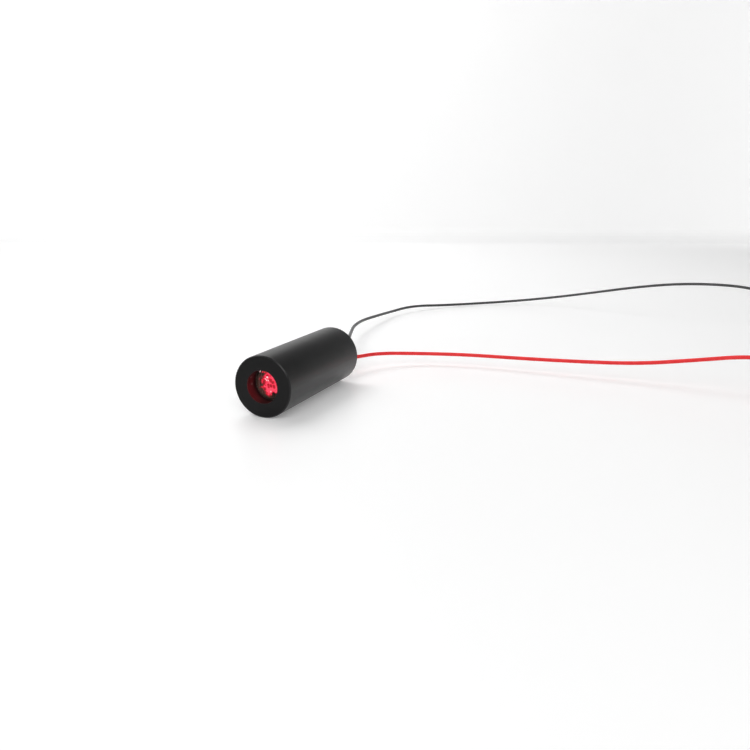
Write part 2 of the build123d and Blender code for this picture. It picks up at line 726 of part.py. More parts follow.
red_points = lead_points(LEAD_PLACES[0], RED_ROUTE)
red_points.append(on_coil(COIL_ENTRY_ANGLE, LEAD_REST, -2 * COIL_STUB))
red_points.append(on_coil(COIL_ENTRY_ANGLE, LEAD_REST, -COIL_STUB))
black_points = lead_points(LEAD_PLACES[1], BLACK_ROUTE)
tail_points = [on_coil(COIL_EXIT_ANGLE, height, along) for along, height in TAIL_ROUTE]

with BuildPart() as red_lead_coil:
    with BuildSketch(Plane(coil_centre, x_dir=(1, 0, 0), z_dir=(0, -1, 0))):
        with Locations((coil_outer - COIL_SPACING / 2, LEAD_REST + COIL_SPACING / 2)):
            coil_side = COIL_SPACING + LEAD_DIA + COIL_SKIN
            RectangleRounded(coil_side, coil_side, COIL_ROUND)
    revolve(axis=Axis(coil_centre, (0, 0, 1)))
    with BuildSketch(Plane(red_points[-1], z_dir=red_points[-1] - red_points[-2])):
        Circle(LEAD_DIA / 2)
    extrude(amount=COIL_STUB)
    tail, tail_length = lead_tube(tail_points)
    add(tail)
save(red_lead_coil.part, "red_lead_coil")

lead_section = pi * (LEAD_DIA / 2) ** 2
for name, points in (("red_lead", red_points), ("black_lead", black_points)):
    lead, lead_length = lead_tube(points)
    save(lead, name)
    print(name, "radii", [round(r, 1) for r in bend_radii(points)])
    print(name, "length", round(lead_length, 1), "volume", round(lead.volume, 2),
          "section x length", round(lead_section * lead_length, 2))
save(lead_tip(tail_points), "red_lead_tip")
save(lead_tip(black_points), "black_lead_tip")
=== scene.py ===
"""Laser diode module with a cross-line optic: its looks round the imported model.

Sizes in the classes are millimetres, in the model's own frame: the origin is on the
optical axis at the middle of the barrel, the beam leaves along -Y, the leads leave
along +Y, and the surface the module lies on is below, along -Z.
"""

import logging
import math
from dataclasses import dataclass, field
from enum import Enum
from typing import Any, NamedTuple, Optional, Protocol, Union

import bmesh
import bpy
from mathutils import Matrix, Vector


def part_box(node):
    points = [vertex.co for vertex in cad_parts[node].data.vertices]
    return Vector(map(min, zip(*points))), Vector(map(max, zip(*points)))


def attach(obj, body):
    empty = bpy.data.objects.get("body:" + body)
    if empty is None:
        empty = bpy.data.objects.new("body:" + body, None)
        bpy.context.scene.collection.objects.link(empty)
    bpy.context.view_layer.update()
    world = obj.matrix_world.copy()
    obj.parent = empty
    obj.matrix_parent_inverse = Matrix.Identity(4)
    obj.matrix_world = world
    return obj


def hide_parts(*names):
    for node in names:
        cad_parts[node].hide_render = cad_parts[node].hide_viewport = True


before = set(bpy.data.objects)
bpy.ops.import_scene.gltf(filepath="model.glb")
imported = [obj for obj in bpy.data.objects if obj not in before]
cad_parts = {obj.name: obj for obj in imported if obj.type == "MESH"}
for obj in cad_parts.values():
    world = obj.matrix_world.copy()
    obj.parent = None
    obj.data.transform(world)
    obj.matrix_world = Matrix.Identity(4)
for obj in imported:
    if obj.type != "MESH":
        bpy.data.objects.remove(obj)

log = logging.getLogger("laser_module")

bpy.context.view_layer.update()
BODY = "root"
PER_METRE = 1000.0
FLOOR_LEVEL = -6.0
BARREL_REAR = 15.0
BOARD_ROLL = math.radians(20.0)
FINE_DETAIL = 3.0
CLOUD_EDGES = (0.35, 0.7)

Colour = tuple[float, float, float]
Point = tuple[float, float, float]
Fade = tuple[float, float, float]
Pair = tuple[float, float]
Stops = tuple[Pair, ...]
Tones = tuple[tuple[float, Colour], ...]
Material = bpy.types.Material
Socket = bpy.types.NodeSocket
Tone = Union[Colour, Socket]

DARK: Colour = (0.0, 0.0, 0.0)
WHITE: Colour = (1.0, 1.0, 1.0)


def metres(*values: float) -> Vector:
    """A point in metres from one in millimetres."""
    return Vector([value / PER_METRE for value in values])


class Marks(Enum):
    """The marks that making a piece leaves on it."""

    TURNED = "fine rings round the barrel's axis"
    DRAWN = "fine lines along the barrel's axis"
    MOULDED = "a fine even grain"


class Signal:
    """A shader socket that carries a number; arithmetic on it adds Math nodes."""

    def __init__(self, bench: "Bench", socket: Socket) -> None:
        """Keeps the socket and the bench whose nodes it belongs to."""
        self.bench = bench
        self.socket = socket

    def __add__(self, other: "Value") -> "Signal":
        """The sum."""
        return self.bench.math("ADD", self, other)

    def __sub__(self, other: "Value") -> "Signal":
        """The difference."""
        return self.bench.math("SUBTRACT", self, other)

    def __rsub__(self, other: "Value") -> "Signal":
        """A number less this one."""
        return self.bench.math("SUBTRACT", other, self)

    def __mul__(self, other: "Value") -> "Signal":
        """The product."""
        return self.bench.math("MULTIPLY", self, other)

    def __truediv__(self, other: "Value") -> "Signal":
        """The quotient."""
        return self.bench.math("DIVIDE", self, other)

    def __pow__(self, power: float) -> "Signal":
        """This number to a power."""
        return self.bench.math("POWER", self, power)

    def rises(self, low: float, high: float) -> "Signal":
        """A smooth step.

        Args:
            low: where the step is still 0.
            high: where the step has reached 1; it may be under `low`.

        Returns:
            A number from 0 to 1.
        """
        if low > high:
            return 1 - self.rises(high, low)
        node = self.bench.add(
            "ShaderNodeMapRange",
            {"interpolation_type": "SMOOTHSTEP"},
            {"Value": self, "From Min": low, "From Max": high},
        )
        return Signal(self.bench, node.outputs[0])

    def fades(self, low: float, high: float, least: float) -> "Signal":
        """A smooth step as in `rises`, but up from `least` instead of 0."""
        return self.rises(low, high) * (1 - least) + least


Value = Union[float, int, Signal]


class Place(NamedTuple):
    """The shaded point in the model's frame, in millimetres: whole and as numbers."""

    where: Socket
    x: Signal
    y: Signal
    z: Signal


def away(first: Signal, second: Signal) -> Signal:
    """How far a point is from an axis, from its two offsets."""
    return (first * first + second * second) ** 0.5


class Bench:
    """The node tree of a material or of the world, and the ways to add to it."""

    def __init__(self, owner: Union[Material, bpy.types.World]) -> None:
        """Empties the tree of its owner."""
        self.owner = owner
        owner.use_nodes = True
        self.tree = owner.node_tree
        self.tree.nodes.clear()

    @classmethod
    def for_material(cls, name: str) -> "Bench":
        """Starts an empty material of that name."""
        return cls(bpy.data.materials.new(name))

    def add(
        self,
        kind: str,
        settings: Optional[dict[str, Any]] = None,
        inputs: Optional[dict[Union[str, int], Any]] = None,
    ) -> bpy.types.Node:
        """Adds a node, and returns it.

        Args:
            kind: the node's type.
            settings: its properties, set before its sockets; `stops` are the places
                and colours of a colour ramp.
            inputs: values or links of its sockets, by name or number.
        """
        node = self.tree.nodes.new(kind)
        for key, value in (settings or {}).items():
            if key == "stops":
                self._fill_ramp(node.color_ramp, value)
            else:
                setattr(node, key, value)
        for key, value in (inputs or {}).items():
            socket = node.inputs[key]
            if isinstance(value, Signal):
                value = value.socket
            if isinstance(value, Socket):
                self.tree.links.new(value, socket)
            elif socket.type == "RGBA":
                socket.default_value = (*value, 1.0)
            else:
                socket.default_value = value
        return node

    @staticmethod
    def _fill_ramp(ramp: bpy.types.ColorRamp, stops: Tones) -> None:
        """Gives a colour ramp its stops, lowest first."""
        while len(ramp.elements) < len(stops):
            ramp.elements.new(1.0)
        for element, (place, colour) in zip(ramp.elements, stops):
            element.position = place
            element.color = (*colour, 1.0)

    def math(self, operation: str, *values: Value) -> Signal:
        """Adds a Math node with these numbers, in the order of its sockets."""
        inputs = dict(enumerate(values))
        return Signal(self, self.add("ShaderNodeMath", {"operation": operation}, inputs).outputs[0])

    def place(self) -> Place:
        """The shaded point in the model's frame."""
        spot = self.add("ShaderNodeTexCoord").outputs["Object"]
        inputs = {0: spot, "Scale": PER_METRE}
        scaled = self.add("ShaderNodeVectorMath", {"operation": "SCALE"}, inputs)
        parts = self.add("ShaderNodeSeparateXYZ", inputs={0: scaled.outputs[0]})
        return Place(scaled.outputs[0], *(Signal(self, parts.outputs[axis]) for axis in range(3)))

    def vector(self, x: Value, y: Value, z: Value) -> Socket:
        """A vector from three numbers."""
        return self.add("ShaderNodeCombineXYZ", inputs={0: x, 1: y, 2: z}).outputs[0]

    def noise(self, where: Socket, grain: float, detail: float = 2.0) -> Signal:
        """Soft noise about 0.5: blots `grain` millimetres wide, and `detail` finer layers."""
        inputs = {"Vector": where, "Scale": 1 / grain, "Detail": detail}
        return Signal(self, self.add("ShaderNodeTexNoise", None, inputs).outputs[0])

    def wave(self, value: Signal, pitch: float) -> Signal:
        """A wave from 0 to 1 with one crest for each `pitch` of the value."""
        return self.math("SINE", value * (2 * math.pi / pitch)) * 0.5 + 0.5

    def blend(self, amount: Value, first: Tone, second: Tone) -> Socket:
        """Mixes two colours; an amount of 0 gives the first, 1 the second."""
        colours = {0: amount, 6: first, 7: second}
        return self.add("ShaderNodeMix", {"data_type": "RGBA"}, colours).outputs[2]

    def relief(self, height: Signal, depth: float) -> Socket:
        """A normal that follows a height, 1 of which is `depth` millimetres."""
        node = self.add("ShaderNodeBump", None, {"Distance": depth / PER_METRE, "Height": height})
        return node.outputs["Normal"]

    def close(self, inputs: dict[str, Any]) -> Material:
        """Ends a material in a Principled shader with these values or links, and returns it."""
        shader = self.add("ShaderNodeBsdfPrincipled", None, inputs)
        self.add("ShaderNodeOutputMaterial", None, {"Surface": shader.outputs[0]})
        return self.owner


class Coating(Protocol):
    """What every finish has."""

    @property
    def slot(self) -> str:
        """The name of its material slot."""

    def material(self) -> Material:
        """Builds its material."""


@dataclass(frozen=True)
class Finish:
    """A plain material of one piece: metal, ceramic, glass bead or moulded plastic."""

    slot: str
    colour: Colour
    mottled: Colour
    roughness: float
    metallic: float = 0.0
    marks: Marks = Marks.MOULDED
    pitch: float = 0.06
    depth: float = 0.002
    mottle: float = 0.6
    coat: float = 0.0
    coat_roughness: float = 0.12
    drawn_out: float = 0.04
    wander_size: float = 0.5
    wander_pitches: float = 2.0
    gloss_by_mottle: float = 0.16
    gloss_by_relief: float = 0.06

    def height(self, bench: Bench, at: Place) -> Signal:
        """The fine relief that its making leaves."""
        if self.marks is Marks.TURNED:
            radius = away(at.x, at.z)
            wander = bench.noise(bench.vector(radius, at.y, 0.0), self.wander_size)
            wander = wander * (self.wander_pitches * self.pitch)
            return bench.wave(at.y + radius + wander, self.pitch)
        if self.marks is Marks.DRAWN:
            factors = {0: at.where, 1: (1, self.drawn_out, 1)}
            stretched = bench.add("ShaderNodeVectorMath", {"operation": "MULTIPLY"}, factors)
            return bench.noise(stretched.outputs[0], self.pitch, FINE_DETAIL)
        return bench.noise(at.where, self.pitch, FINE_DETAIL)

    def material(self) -> Material:
        """Builds the material, with mottling, worn gloss and fine relief."""
        bench = Bench.for_material(self.slot)
        at = bench.place()
        cloud = bench.noise(at.where, self.mottle, FINE_DETAIL)
        height = self.height(bench, at)
        gloss = cloud * self.gloss_by_mottle + height * self.gloss_by_relief
        even = self.roughness - (self.gloss_by_mottle + self.gloss_by_relief) / 2
        return bench.close({
            "Base Color": bench.blend(cloud.rises(*CLOUD_EDGES), self.colour, self.mottled),
            "Metallic": self.metallic,
            "Roughness": gloss + even,
            "Coat Weight": self.coat,
            "Coat Roughness": self.coat_roughness,
            "Normal": bench.relief(height, self.depth),
        })


@dataclass(frozen=True)
class AnodisedFinish:
    """Black anodised aluminium as turned, with a dull red glow painted into its front bore.

    The chamfer's edges are sums: the radius and how far it is from the barrel's middle.
    """

    slot: str = "black_anodised"
    colour: Colour = (0.0032, 0.0032, 0.0035)
    rubbed: Colour = (0.0085, 0.0085, 0.0093)
    worn: Colour = (0.05, 0.05, 0.053)
    # painted glow: the optic's red light on the bore wall, painted on as emission
    lit: Colour = (0.080, 0.0045, 0.0065)
    # painted highlight: the tone of the two glints painted on the bore wall
    glint: Colour = (0.11, 0.05, 0.05)
    roughness: float = 0.34
    gloss_by_smudge: float = 0.05
    gloss_by_pore: float = 0.08
    gloss_by_wear: float = 0.1
    specular: float = 0.20
    coat: float = 0.3
    coat_roughness: float = 0.35
    bore_edges: Pair = (3.26, 3.23)
    bore_floor: Pair = (-11.75, -12.05)
    end_edges: Pair = (14.97, 14.99)
    chamfer_edges: Pair = (20.70, 20.78)
    ring_pitch: float = 0.10
    face_ring_pitch: float = 0.08
    ring_share: float = 0.75
    pore_share: float = 0.5
    relief: float = 0.0016
    wander: float = 0.12
    wander_size: float = 0.8
    pore_size: float = 0.035
    smudge_size: float = 3.2
    smudge_detail: float = 4.0
    smudge_edges: Pair = (0.42, 0.72)
    clean_end: float = 0.8
    wear_size: float = 0.14
    wear_edges: Pair = (0.35, 0.80)
    wear_share: float = 0.5
    # where the painted glow is strongest: near the mouth, low and at -X, broken into streaks
    glow_mouth: Fade = (-12.30, -13.55, 0.2)
    glow_low: Fade = (2.8, 0.2, 0.2)
    glow_aside: Fade = (0.4, -2.6, 0.15)
    streak_stretch: Point = (2.0, 0.35, 0.35)
    streak_size: float = 0.5
    streak_gain: float = 1.5
    streak_cut: float = 0.15
    # places of the two painted glints on the bore wall
    glints: tuple[Point, ...] = ((-3.2, -13.4, -0.1), (-2.88, -14.1, 1.4))
    glint_edges: Pair = (0.28, 0.08)

    def rings(self, bench: Bench, at: Place, on_end: Signal) -> Signal:
        """The turning marks: along the barrel, and across its two end faces."""
        radius = away(at.x, at.z)
        wander = bench.noise(bench.vector(radius, at.y, 0.0), self.wander_size) * self.wander
        along = bench.wave(at.y + wander, self.ring_pitch)
        across = bench.wave(radius + wander, self.face_ring_pitch)
        return along * (1 - on_end) + across * on_end

    def light(self, bench: Bench, at: Place, in_bore: Signal) -> Socket:
        """The painted red glow on the wall of the front bore, put on as emission: brightest low, at
        -X and near the mouth, with two painted glints.
        """
        in_front_bore = in_bore * at.y.rises(*self.bore_floor)
        stretch_y, stretch_z, stretch_x = self.streak_stretch
        stretched = bench.vector(at.y * stretch_y, at.z * stretch_z, at.x * stretch_x)
        streaks = bench.noise(stretched, self.streak_size)
        glow = in_front_bore * at.y.fades(*self.glow_mouth) * at.z.fades(*self.glow_low)
        glow = glow * (streaks * self.streak_gain - self.streak_cut)
        glow = glow * at.x.fades(*self.glow_aside)
        light = bench.blend(glow, DARK, self.lit)
        # paints the two glints onto the painted glow
        for spot in self.glints:
            ends = {0: at.where, 1: spot}
            distance = bench.add("ShaderNodeVectorMath", {"operation": "DISTANCE"}, ends)
            near = Signal(bench, distance.outputs["Value"]).rises(*self.glint_edges)
            light = bench.blend(near * in_front_bore, light, self.glint)
        return light

    def material(self) -> Material:
        """Builds the material: rubbed in places, and worn along the chamfers."""
        bench = Bench.for_material(self.slot)
        at = bench.place()
        radius = away(at.x, at.z)
        reach = bench.math("ABSOLUTE", at.y)
        in_bore = radius.rises(*self.bore_edges)
        on_end = reach.rises(*self.end_edges) * (1 - in_bore)
        pores = bench.noise(at.where, self.pore_size)
        height = self.rings(bench, at, on_end) * self.ring_share + pores * self.pore_share

        smudge = bench.noise(at.where, self.smudge_size, self.smudge_detail)
        smudge = smudge.rises(*self.smudge_edges)
        wear = bench.noise(at.where, self.wear_size, FINE_DETAIL).rises(*self.wear_edges)
        bare = (radius + reach).rises(*self.chamfer_edges) * wear
        tone = bench.blend(smudge * (1 - on_end * self.clean_end), self.colour, self.rubbed)
        gloss = smudge * self.gloss_by_smudge + pores * self.gloss_by_pore + self.roughness
        return bench.close({
            "Base Color": bench.blend(bare * self.wear_share, tone, self.worn),
            "Roughness": gloss - bare * self.gloss_by_wear,
            "Specular IOR Level": self.specular,
            "Coat Weight": (1 - on_end) * self.coat,
            "Coat Roughness": self.coat_roughness,
            "Normal": bench.relief(height, self.relief),
            # the painted glow and glints of the bore wall, as emission
            "Emission Color": self.light(bench, at, in_bore),
            "Emission Strength": 1.0,
        })


class PaintedSpot(NamedTuple):
    """A painted mark on the optic's light: a glint `share` lighter than the rest, or a painted dark
    patch if it is under 0.
    """

    x: float
    z: float
    radius: float
    share: float


@dataclass(frozen=True)
class OpticFinish:
    """Clear moulded optic; the red light in it is painted on as emission, broken into facets as its
    crossed ridges would break it.
    """

    slot: str = "clear_optic"
    clear: Colour = (0.075, 0.043, 0.032)
    edge: Colour = (0.075, 0.055, 0.042)
    # painted glow: red painted into the base colour where the painted pool of light stands
    lit: Colour = (0.030, 0.006, 0.008)
    roughness: float = 0.22
    specular: float = 0.25
    smear_size: float = 0.3
    gloss_by_smear: float = 0.1
    frost_size: float = 0.12
    frost_depth: float = 0.004
    window_edges: Pair = (2.72, 2.64)
    rim_edges: Pair = (2.65, 2.75)
    front_edges: Pair = (-11.6, -12.0)
    facet: float = 0.68
    irregular: float = 0.9
    net_edges: Pair = (0.18, 0.68)
    net_share: float = 0.65
    # the painted pool of light: its centre, its edges and how ragged they are
    glow_centre: Pair = (0.6, 0.05)
    glow_edges: Pair = (2.85, 1.85)
    ragged: float = 2.4
    ragged_size: float = 0.7
    glow_by_facet: float = 0.66
    dark_by_facet: float = 0.06
    glow_floor: float = 0.19
    brightest_facet: float = 0.78
    spot_core: float = 0.35
    outshines: Pair = (0.9, 1.1)
    # painted glints, and painted dark patches where the share is under 0
    painted_spots: tuple[PaintedSpot, ...] = (
        PaintedSpot(-0.43, 1.22, 0.24, 1.0),
        PaintedSpot(-0.88, 0.80, 0.18, 0.4),
        PaintedSpot(-0.57, 0.63, 0.18, 0.4),
        PaintedSpot(-0.22, 0.57, 0.18, 0.4),
        PaintedSpot(-1.43, 2.20, 0.30, 0.6),
        PaintedSpot(-2.04, 2.15, 0.24, 1.5),
        PaintedSpot(-0.98, 2.12, 0.24, 0.5),
        PaintedSpot(0.24, -1.53, 0.22, 0.15),
        PaintedSpot(0.33, -2.15, 0.20, 0.4),
        PaintedSpot(-1.33, -1.17, 0.18, 0.4),
        PaintedSpot(0.85, -1.95, 0.50, -0.5),
        PaintedSpot(1.36, -2.05, 0.50, -0.6),
        PaintedSpot(0.75, -2.45, 0.45, -0.6),
    )
    # the painted glow's colours, from dark through red to a pinkish white
    glow_tones: Tones = (
        (0.0, DARK),
        (0.12, (0.04, 0.003, 0.004)),
        (0.35, (0.40, 0.005, 0.014)),
        (0.60, (0.80, 0.008, 0.040)),
        (0.80, (1.0, 0.070, 0.13)),
        (1.0, (1.0, 0.62, 0.66)),
    )

    def facets(self, bench: Bench, at: Place) -> Signal:
        """How much of the painted light each facet sends out, as the crossed ridges would bend it.
        """
        flat = bench.vector(at.x, 0.0, at.z)
        inputs = {"Vector": flat, "Scale": 1 / self.facet, "Randomness": self.irregular}
        cells = bench.add("ShaderNodeTexVoronoi", None, inputs)
        parts = bench.add("ShaderNodeSeparateXYZ", inputs={0: cells.outputs["Color"]})
        net = Signal(bench, cells.outputs["Distance"]).rises(*self.net_edges)
        return Signal(bench, parts.outputs[0]) * (1 - self.net_share) + net * self.net_share

    def pool(self, bench: Bench, at: Place) -> Signal:
        """Where the painted pool of red light stands behind the optic, as a round with a ragged
        edge.
        """
        centre_x, centre_z = self.glow_centre
        reach = away(at.x - centre_x, at.z - centre_z)
        noise = bench.noise(at.where, self.ragged_size, FINE_DETAIL)
        uneven = noise * self.ragged - self.ragged / 2
        return (reach + uneven).rises(*self.glow_edges)

    def level(self, bench: Bench, at: Place, pool: Signal) -> Signal:
        """How bright the painted light is: its net of facets and the painted marks that stand out.
        """
        shares = pool * self.glow_by_facet + self.dark_by_facet
        level = self.facets(bench, at) * shares + pool * self.glow_floor
        level = bench.math("MINIMUM", level, self.brightest_facet)
        # adds the painted glints and dark patches to the painted light
        for spot in self.painted_spots:
            distance = away(at.x - spot.x, at.z - spot.z)
            level = level + distance.rises(spot.radius, spot.radius * self.spot_core) * spot.share
        return level

    def material(self) -> Material:
        """Builds the material."""
        bench = Bench.for_material(self.slot)
        at = bench.place()
        radius = away(at.x, at.z)
        in_window = radius.rises(*self.window_edges)
        in_front = at.y.rises(*self.front_edges)
        pool = self.pool(bench, at)
        level = self.level(bench, at, pool)
        glow = bench.add("ShaderNodeValToRGB", {"stops": self.glow_tones}, {0: level})
        shown = bench.math("MINIMUM", in_window + level.rises(*self.outshines), 1.0) * in_front
        body = bench.blend(radius.rises(*self.rim_edges), self.clear, self.edge)
        smear = bench.noise(at.where, self.smear_size)
        return bench.close({
            # red painted into the base colour under the painted pool of light
            "Base Color": bench.blend(pool * in_window * in_front, body, self.lit),
            "Roughness": smear * self.gloss_by_smear + self.roughness,
            "Specular IOR Level": self.specular,
            "Normal": bench.relief(bench.noise(at.where, self.frost_size), self.frost_depth),
            # the painted glow, its facets and its marks, as emission
            "Emission Color": bench.blend(shown, DARK, glow.outputs[0]),
            "Emission Strength": 1.0,
        })


@dataclass(frozen=True)
class GlassFinish:
    """Coated optical glass."""

    slot: str = "lens_glass"
    tint: Colour = (0.90, 0.93, 0.97)
    # painted sheen: the purple reflection of the coating, painted into the glass's colour
    painted_sheen: Colour = (0.78, 0.74, 0.95)
    painted_sheen_edges: Pair = (0.4, 1.8)
    index: float = 1.52
    coat: float = 0.3
    coat_roughness: float = 0.03
    roughness: float = 0.01
    gloss_by_dust: float = 0.08
    dust_size: float = 0.2
    dust_edges: Pair = (0.6, 0.8)
    dust_depth: float = 0.0006

    def material(self) -> Material:
        """Builds the material, with the purple sheen of its coating painted into its colour, more
        of it away from the middle.
        """
        bench = Bench.for_material(self.slot)
        at = bench.place()
        ring = away(at.x, at.z).rises(*self.painted_sheen_edges)
        dust = bench.noise(at.where, self.dust_size, FINE_DETAIL)
        return bench.close({
            "Base Color": bench.blend(ring, self.tint, self.painted_sheen),
            "Roughness": dust.rises(*self.dust_edges) * self.gloss_by_dust + self.roughness,
            "IOR": self.index,
            "Transmission Weight": 1.0,
            "Coat Weight": self.coat,
            "Coat Roughness": self.coat_roughness,
            "Normal": bench.relief(dust, self.dust_depth),
        })


def across_board(at: Place) -> Signal:
    """A point's offset from the board's middle line, along its width."""
    return at.x * math.cos(BOARD_ROLL) - at.z * math.sin(BOARD_ROLL)


def above_board(at: Place) -> Signal:
    """A point's offset from the board's middle plane."""
    return at.x * math.sin(BOARD_ROLL) + at.z * math.cos(BOARD_ROLL)


class Run(NamedTuple):
    """Copper tracks side by side: their pitch, how often they jump, how far, and their edges."""

    pitch: float
    every: float
    jump: float
    edges: Pair


@dataclass(frozen=True)
class BoardFinish:
    """Green circuit board: lacquer over copper tracks, bare glass fibre at its edges."""

    slot: str = "board_green"
    lacquer: Colour = (0.010, 0.115, 0.035)
    over_copper: Colour = (0.022, 0.190, 0.055)
    fibre: Colour = (0.42, 0.38, 0.20)
    pale_fibre: Colour = (0.55, 0.50, 0.30)
    pads: Colour = (0.72, 0.70, 0.66)
    face_edges: Pair = (0.422, 0.442)
    lanes: Run = Run(1.1, 1.3, 0.37, (0.62, 0.7))
    crossings: Run = Run(1.7, 1.6, 0.53, (0.8, 0.86))
    pin_pads_end: Pair = (6.05, 5.85)
    pin_pads_side: Pair = (1.35, 1.25)
    lead_pads_start: Pair = (8.75, 8.95)
    lead_pads_inside: Pair = (0.90, 1.00)
    lead_pads_outside: Pair = (2.10, 2.00)
    weave_pitches: Pair = (0.28, 0.11)
    weave_share: float = 0.2
    relief: float = 0.02
    pad_metal: float = 0.9
    roughness: float = 0.25
    gloss_by_track: float = 0.05
    edge_roughness: float = 0.45
    coat: float = 0.4
    coat_roughness: float = 0.1

    @staticmethod
    def run(bench: Bench, run: Run, aside: Signal, along: Signal) -> Signal:
        """Where a run's tracks are, from the offsets aside and along."""
        shifted = aside + bench.math("FLOOR", along / run.every) * run.jump
        return bench.wave(shifted, run.pitch).rises(*run.edges)

    def tinned(self, bench: Bench, side: Signal, y: Signal) -> Signal:
        """Where the bare pads are: at the diode's pins in front and at the leads behind."""
        pins = y.rises(*self.pin_pads_end) * side.rises(*self.pin_pads_side)
        leads = y.rises(*self.lead_pads_start) * side.rises(*self.lead_pads_outside)
        return bench.math("MAXIMUM", pins, leads * side.rises(*self.lead_pads_inside))

    def material(self) -> Material:
        """Builds the material."""
        bench = Bench.for_material(self.slot)
        at = bench.place()
        across, up = across_board(at), above_board(at)
        face = bench.math("ABSOLUTE", up).rises(*self.face_edges)
        lanes = self.run(bench, self.lanes, across, at.y)
        crossings = self.run(bench, self.crossings, at.y, across)
        tracks = bench.math("MAXIMUM", lanes, crossings)
        tone = bench.blend(tracks, self.lacquer, self.over_copper)
        tinned = self.tinned(bench, bench.math("ABSOLUTE", across), at.y)
        tone = bench.blend(tinned, tone, self.pads)
        along_weave, up_weave = self.weave_pitches
        weave = bench.wave(at.y, along_weave) * bench.wave(up, up_weave)
        layers = bench.blend(weave, self.fibre, self.pale_fibre)
        gloss = (1 - face) * self.edge_roughness + tracks * self.gloss_by_track
        return bench.close({
            "Base Color": bench.blend(face, layers, tone),
            "Metallic": tinned * face * self.pad_metal,
            "Roughness": gloss + self.roughness,
            "Coat Weight": face * self.coat,
            "Coat Roughness": self.coat_roughness,
            "Normal": bench.relief(tracks * face + weave * self.weave_share, self.relief),
        })


@dataclass(frozen=True)
class LeadedChipFinish:
    """Moulded black chip body whose tinned legs stand out of its two sides."""

    slot: str = "chip_black"
    body: Colour = (0.012, 0.012, 0.013)
    speckle: Colour = (0.020, 0.020, 0.021)
    leg: Colour = (0.68, 0.67, 0.64)
    centre: float = 0.0
    half_body: float = 1.95
    leg_edges: Pair = (0.005, 0.02)
    roughness: float = 0.22
    body_roughness: float = 0.32
    gloss_by_grain: float = 0.1
    dot: Optional[Pair] = None
    dot_tone: Colour = (0.045, 0.045, 0.045)
    dot_edges: Pair = (0.26, 0.22)
    grain_size: float = 0.05
    grain_depth: float = 0.006

    def material(self) -> Material:
        """Builds the material; the dot marks the corner of the first leg."""
        bench = Bench.for_material(self.slot)
        at = bench.place()
        across = across_board(at)
        side = bench.math("ABSOLUTE", across - self.centre)
        legs = side.rises(*(self.half_body + edge for edge in self.leg_edges))
        grain = bench.noise(at.where, self.grain_size, FINE_DETAIL)
        tone = bench.blend(grain, self.body, self.speckle)
        dimple: Value = 0.0
        if self.dot is not None:
            dimple = away(across - self.dot[0], at.y - self.dot[1]).rises(*self.dot_edges)
            tone = bench.blend(dimple, tone, self.dot_tone)
        gloss = (1 - legs) * self.body_roughness + grain * self.gloss_by_grain
        return bench.close({
            "Base Color": bench.blend(legs, tone, self.leg),
            "Metallic": legs,
            "Roughness": gloss + self.roughness,
            "Normal": bench.relief(grain * (1 - legs) - dimple, self.grain_depth),
        })


@dataclass(frozen=True)
class EndCappedFinish:
    """Ceramic chip resistor or capacitor with tinned end caps."""

    slot: str
    body: Colour
    fleck: Colour
    middle: float
    half_body: float
    cap: Colour = (0.74, 0.73, 0.70)
    soft: float = 0.01
    roughness: float = 0.25
    gloss_by_grain: float = 0.2
    fleck_edges: Pair = (0.45, 0.75)
    grain_size: float = 0.08
    grain_depth: float = 0.006

    def material(self) -> Material:
        """Builds the material."""
        bench = Bench.for_material(self.slot)
        at = bench.place()
        reach = bench.math("ABSOLUTE", at.y - self.middle)
        caps = reach.rises(self.half_body - self.soft, self.half_body + self.soft)
        grain = bench.noise(at.where, self.grain_size, FINE_DETAIL)
        tone = bench.blend(grain.rises(*self.fleck_edges), self.body, self.fleck)
        return bench.close({
            "Base Color": bench.blend(caps, tone, self.cap),
            "Metallic": caps,
            "Roughness": grain * self.gloss_by_grain + self.roughness,
            "Normal": bench.relief(grain, self.grain_depth),
        })


@dataclass(frozen=True)
class JacketFinish:
    """Soft insulation of a lead, with the lie of the strands just showing through."""

    slot: str
    colour: Colour
    deep: Colour
    roughness: float
    sheen: float
    cloud_size: float = 1.6
    cloud_share: float = 0.6
    grain_size: float = 0.07
    grain_share: float = 0.2
    relief: float = 0.012
    gloss_by_cloud: float = 0.12
    gloss_by_grain: float = 0.06

    def material(self) -> Material:
        """Builds the material."""
        bench = Bench.for_material(self.slot)
        at = bench.place()
        cloud = bench.noise(at.where, self.cloud_size, FINE_DETAIL)
        grain = bench.noise(at.where, self.grain_size)
        gloss = cloud * self.gloss_by_cloud + grain * self.gloss_by_grain
        even = self.roughness - (self.gloss_by_cloud + self.gloss_by_grain) / 2
        height = cloud * self.cloud_share + grain * self.grain_share
        return bench.close({
            "Base Color": bench.blend(cloud.rises(*CLOUD_EDGES), self.colour, self.deep),
            "Roughness": gloss + even,
            "Specular IOR Level": self.sheen,
            "Normal": bench.relief(height, self.relief),
        })


